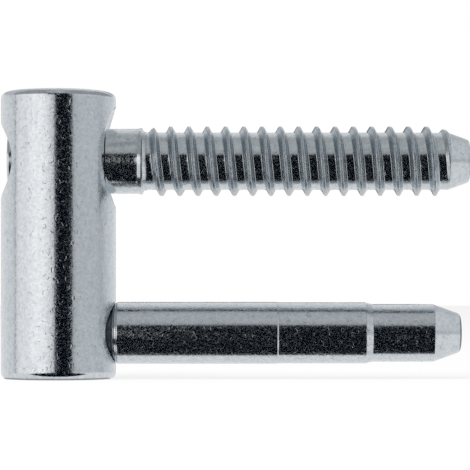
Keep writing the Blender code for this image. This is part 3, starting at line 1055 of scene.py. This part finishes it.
# A long black card hangs in front of the pins and goes on under them. The cylinders
# show it as their dark bands. It is given by direction in degrees: from left to right
# as the barrel sees it, and from straight down to above the camera as the pins see it.
# Its left part has a gap at the barrel's own level. A nearer card closes that gap for
# the pins, and gives the barrel's dark band both its edges.
BLACK_LEFT, BLACK_MIDDLE, BLACK_RIGHT = -16.0, 1.0, 22.0
BLACK_LOW, BLACK_HIGH = -92.0, 24.4
GAP_LOW, GAP_HIGH = -7.0, 10.0
BLACK = np.array([0.002, 0.005, 0.009])
# A smaller card behind the object gives its back the same dark bands.
BACK_LEFT, BACK_RIGHT = -14.0, 7.0
BACK_LOW, BACK_HIGH = -172.0, 160.0
print("wall from", WALL_LEVELS[:, 1].min(), "to", WALL_LEVELS[:, 1].max())

# %% Dome
DOME_CENTRE_Z = -0.02
DOME_RADIUS = 1.3
SOFT_EDGE = 0.35
GREY_FELT = np.array([0.97, 1.0, 1.02])
WHITE_PAPER = np.array([1.03, 1.0, 0.98])


def dome_level(side, pitch, azimuth, height):
    """Wall at the level of the object, roof above it and white table below it."""
    wall = np.interp(azimuth, *WALL_LEVELS.T)
    roof = np.interp(np.where(pitch < -120, pitch + 360, pitch), *ROOF_LEVELS.T)
    tips = smooth_step(side, TIPS_FROM, TIPS_TO)
    roof_from = ROOF_FROM + (TIP_ROOF_FROM - ROOF_FROM) * tips
    roof_to = ROOF_TO + (TIP_ROOF_TO - ROOF_TO) * tips
    table_from = TABLE_FROM + (TIP_TABLE_FROM - TABLE_FROM) * tips
    table_to = TABLE_TO + (TIP_TABLE_TO - TABLE_TO) * tips
    up = smooth_step(height, roof_from, roof_to)
    down = smooth_step(-height, table_from, table_to)
    roof = roof * (1 - DIM_BY * smooth_step(np.abs(side), DIM_FROM, DIM_TO))
    roof = (1 - tips) * roof + tips * np.maximum(roof, TIP_ROOF)
    return (1 - up - down) * wall + up * roof + down * TABLE


def dome_tint(level):
    """Bright cards are a touch warmer than grey ones, as paper is beside grey felt."""
    warm = np.clip((level - 0.7) / 0.5, 0, 1)[..., None]
    return (1 - warm) * GREY_FELT + warm * WHITE_PAPER


def studio_dome():
    """A sphere whose poles lie along X, the pins' direction.

    side is the angle towards +X and pitch the angle round X, so that the black card is
    a rectangle of the grid. An extra row just outside each of its edges keeps it crisp.
    """
    across = [BLACK_LEFT, BLACK_MIDDLE, BLACK_RIGHT, BACK_LEFT, BACK_RIGHT]
    across = np.concatenate([np.linspace(-89.9, 89.9, 181), across, np.add(across, SOFT_EDGE)])
    turns = [BLACK_LOW, GAP_LOW, GAP_HIGH, BLACK_HIGH, BACK_LOW, BACK_HIGH]
    turns = np.concatenate([np.linspace(-180, 180, 241), turns, np.add(turns, SOFT_EDGE)])
    side, pitch = np.meshgrid(np.sort(across), np.sort(turns), indexing="ij")
    x = np.sin(np.radians(side))
    y = -np.cos(np.radians(side)) * np.cos(np.radians(pitch))
    z = np.cos(np.radians(side)) * np.sin(np.radians(pitch))
    level = dome_level(side, pitch, np.degrees(np.arctan2(x, -y)), np.degrees(np.arcsin(z)))
    black = (side > BLACK_LEFT) & (side <= BLACK_RIGHT)
    black &= (pitch > BLACK_LOW) & (pitch <= BLACK_HIGH)
    black &= (side > BLACK_MIDDLE) | (pitch <= GAP_LOW) | (pitch > GAP_HIGH)
    behind = (pitch <= BACK_LOW) | (pitch > BACK_HIGH)
    black |= behind & (side > BACK_LEFT) & (side <= BACK_RIGHT)
    colour = np.where(black[..., None], BLACK, level[..., None] * dome_tint(level))
    grid = np.stack([x, y, z], axis=-1) * DOME_RADIUS
    grid[..., 2] += DOME_CENTRE_Z
    return grid, colour


card("studio_dome", *studio_dome())

# %% Card in front
# The barrel sees this card from 3 degrees left of straight ahead to 34 degrees right, and
# the camera only 5 degrees to the right, so the band shows right of the barrel's middle.
# Every part of the pins mirrors some of the card too, and it fills their bands evenly.
NEAR_CARD_Y = -120 * MM
NEAR_CARD_LEFT, NEAR_CARD_RIGHT = -6.3 * MM, 74.5 * MM
near_card = [
    [(NEAR_CARD_LEFT, NEAR_CARD_Y, z), (NEAR_CARD_RIGHT, NEAR_CARD_Y, z)]
    for z in (-70 * MM, 35 * MM)
]
card("black_flag", np.array(near_card), BLACK)

# %% Cards round the barrel
# The roof is bright beyond the pins' tips. The barrel's rounded top would mirror that at
# its right, so a low curved grey card stands there, just above the level of the barrel.
ARC_FROM, ARC_TO = 24.0, 112.0
ARC_RADIUS = 14 * MM
ARC_LOW, ARC_HIGH = 1 * MM, 14 * MM
ARC_GREY = np.array([0.385, 0.40, 0.41])
# The barrel's rounded foot mirrors a white disc on the floor with painted contact shadow:
# grey under the barrel, and in front of it a dark crescent, which draws a thin dark lens
# above the bright edge.
FOOT_Z = BARREL_BOTTOM + 0.05 * MM
FOOT_SHADOW_RADIUS, FOOT_WHITE_RADIUS = 7.6 * MM, 7.9 * MM
FOOT_RIGHT = 7.4 * MM
# Painted contact shadow on the disc: grey under the barrel, then the white table.
FOOT_LEVELS = np.array([0.30, 0.35, TABLE, TABLE])
CRESCENT_MIDDLE, CRESCENT_HALF = 4.0, 37.0
CRESCENT_WIDTH = 8.5


def round_barrel(radius, direction, height):
    """Points round the barrel's axis. Direction 0 is towards the camera, and 90 is +X."""
    turn = np.radians(direction)
    x = radius * np.sin(turn)
    y = -radius * np.cos(turn)
    return np.stack([x, y, np.full_like(x, height)], axis=-1)


def foot_edge(direction):
    """Where the white disc ends and the crescent begins, as a radius."""
    share = np.minimum(np.abs(direction - CRESCENT_MIDDLE) / CRESCENT_HALF, 1)
    return (8.35 + 2.0 * share**3) * MM


def foot_disc():
    """Rings from the axis out to the crescent, cut off at the right, short of the pins."""
    around = np.linspace(-180, 180, 181)
    flat = np.ones_like(around)
    inner = [0 * flat, FOOT_SHADOW_RADIUS * flat, FOOT_WHITE_RADIUS * flat]
    grid = round_barrel(np.stack(inner + [foot_edge(around)]), around, FOOT_Z)
    grid[..., 0] = np.minimum(grid[..., 0], FOOT_RIGHT)
    return grid


# The crescent is painted contact shadow on the floor, seen only in mirrors.
def foot_shadow_crescent():
    """A strip outside the disc's edge, whose width is 1 - |share|^3 of its widest."""
    share = np.linspace(-1, 1, 81)
    direction = CRESCENT_MIDDLE + CRESCENT_HALF * share
    width = CRESCENT_WIDTH * (1 - np.abs(share) ** 3) * MM
    edge = foot_edge(direction)
    return round_barrel(np.stack([edge, edge + width]), direction, FOOT_Z)


arc_direction = np.linspace(ARC_FROM, ARC_TO, 45)
grey_arc = [round_barrel(ARC_RADIUS, arc_direction, z) for z in (ARC_LOW, ARC_HIGH)]
card("grey_arc", np.stack(grey_arc), ARC_GREY)
# The disc's grey centre and the crescent are painted contact shadow.
card("white_foot", foot_disc(), FOOT_LEVELS[:, None, None])
card("black_crescent", foot_shadow_crescent(), BLACK)

# %% [markdown]
# ## Floor, background and lamp
# A catalogue picture stands on a white sweep. More light would bleach the metal too, so
# the white is in the materials: the floor and the world are white to the camera, and only
# dim light comes from them. What is left of the floor's own paint keeps a soft shadow. One
# large soft lamp above does the rest, and mirror rays don't see it, as they see the dome.

# %% Floor, world and lamp
FLOOR_Z = BARREL_BOTTOM
FLOOR_HALF = 4
FLOOR_GLOW = 0.80
WORLD_LIGHT, WORLD_IN_MIRRORS = 0.55, 0.88
LAMP_SIZE, LAMP_WATTS = 0.6, 6.0
LAMP_PLACE = (-0.25, -0.35, 0.75)
LAMP_TARGET = (0.02, 0.0, -0.02)


def floor_material():
    """White to the camera and to mirrors; to the lamp it is plain white, so shadows show."""
    made, tree = new_material("white_sweep")
    ray = add(tree, "LightPath")
    seen = (ray, "Is Camera Ray")
    for kind in ("Is Glossy Ray", "Is Transmission Ray"):
        seen = combined(tree, "ADD", seen, (ray, kind), use_clamp=True)
    share = add(tree, "Math", {1: FLOOR_GLOW}, {0: seen}, operation="MULTIPLY")
    paint = add(tree, "BsdfDiffuse", {"Color": srgb("#F4F4F4")})
    glow = add(tree, "Emission", {"Strength": 1.0})
    both = add(tree, "MixShader", {}, {0: (share, 0), 1: (paint, 0), 2: (glow, 0)})
    add(tree, "OutputMaterial", {}, {"Surface": (both, "Shader")})
    return made


def white_world():
    """Strength 1 to the camera and through glass, and less as light and in mirrors."""
    made = bpy.data.worlds.new("white_studio")
    made.use_nodes = True
    tree = made.node_tree
    tree.nodes.clear()
    ray = add(tree, "LightPath")
    mirrored = remapped(tree, (ray, "Is Glossy Ray"), 0, 1, (WORLD_LIGHT, WORLD_IN_MIRRORS))
    seen = (ray, "Is Camera Ray")
    seen = combined(tree, "ADD", seen, (ray, "Is Transmission Ray"), use_clamp=True)
    strength = combined(tree, "MAXIMUM", seen, mirrored)
    glow = add(tree, "Background", {"Color": (1.0, 1.0, 1.0, 1.0)}, {"Strength": strength})
    add(tree, "OutputWorld", {}, {"Surface": (glow, "Background")})
    made.cycles.sampling_method = "NONE"
    return made


floor_mesh = bpy.data.meshes.new("floor")
floor_signs = ((-1, -1), (1, -1), (1, 1), (-1, 1))
floor_corners = [(x * FLOOR_HALF, y * FLOOR_HALF, FLOOR_Z) for x, y in floor_signs]
floor_mesh.from_pydata(floor_corners, [], [(0, 1, 2, 3)])
floor_mesh.materials.append(floor_material())
floor = in_scene("floor", floor_mesh)
# Mirror rays pass through the floor to the dome, whose lower part is the white table.
floor.visible_glossy = False
bpy.context.scene.world = white_world()

lamp_data = bpy.data.lights.new("soft_lamp", "AREA")
lamp_data.shape = "DISK"
lamp_data.size = LAMP_SIZE
lamp_data.energy = LAMP_WATTS
lamp = in_scene("soft_lamp", lamp_data)
lamp.location = LAMP_PLACE
aim = np.array(LAMP_TARGET) - np.array(lamp.location)
lamp.rotation_euler = (
    math.atan2(math.hypot(aim[0], aim[1]), -aim[2]),
    0.0,
    math.atan2(aim[1], aim[0]) - math.pi / 2,
)
lamp.visible_glossy = False
print("lamp", LAMP_WATTS, "W,", round(float(np.linalg.norm(aim)), 2), "m away")

bpy.context.scene.view_settings.view_transform = "Standard"

# %% [markdown]
# ## Sizes
# A model for a library keeps the size of its CAD part. Both boxes are kept side by side
# here, so that they can be compared after each render.

bpy.context.view_layer.update()
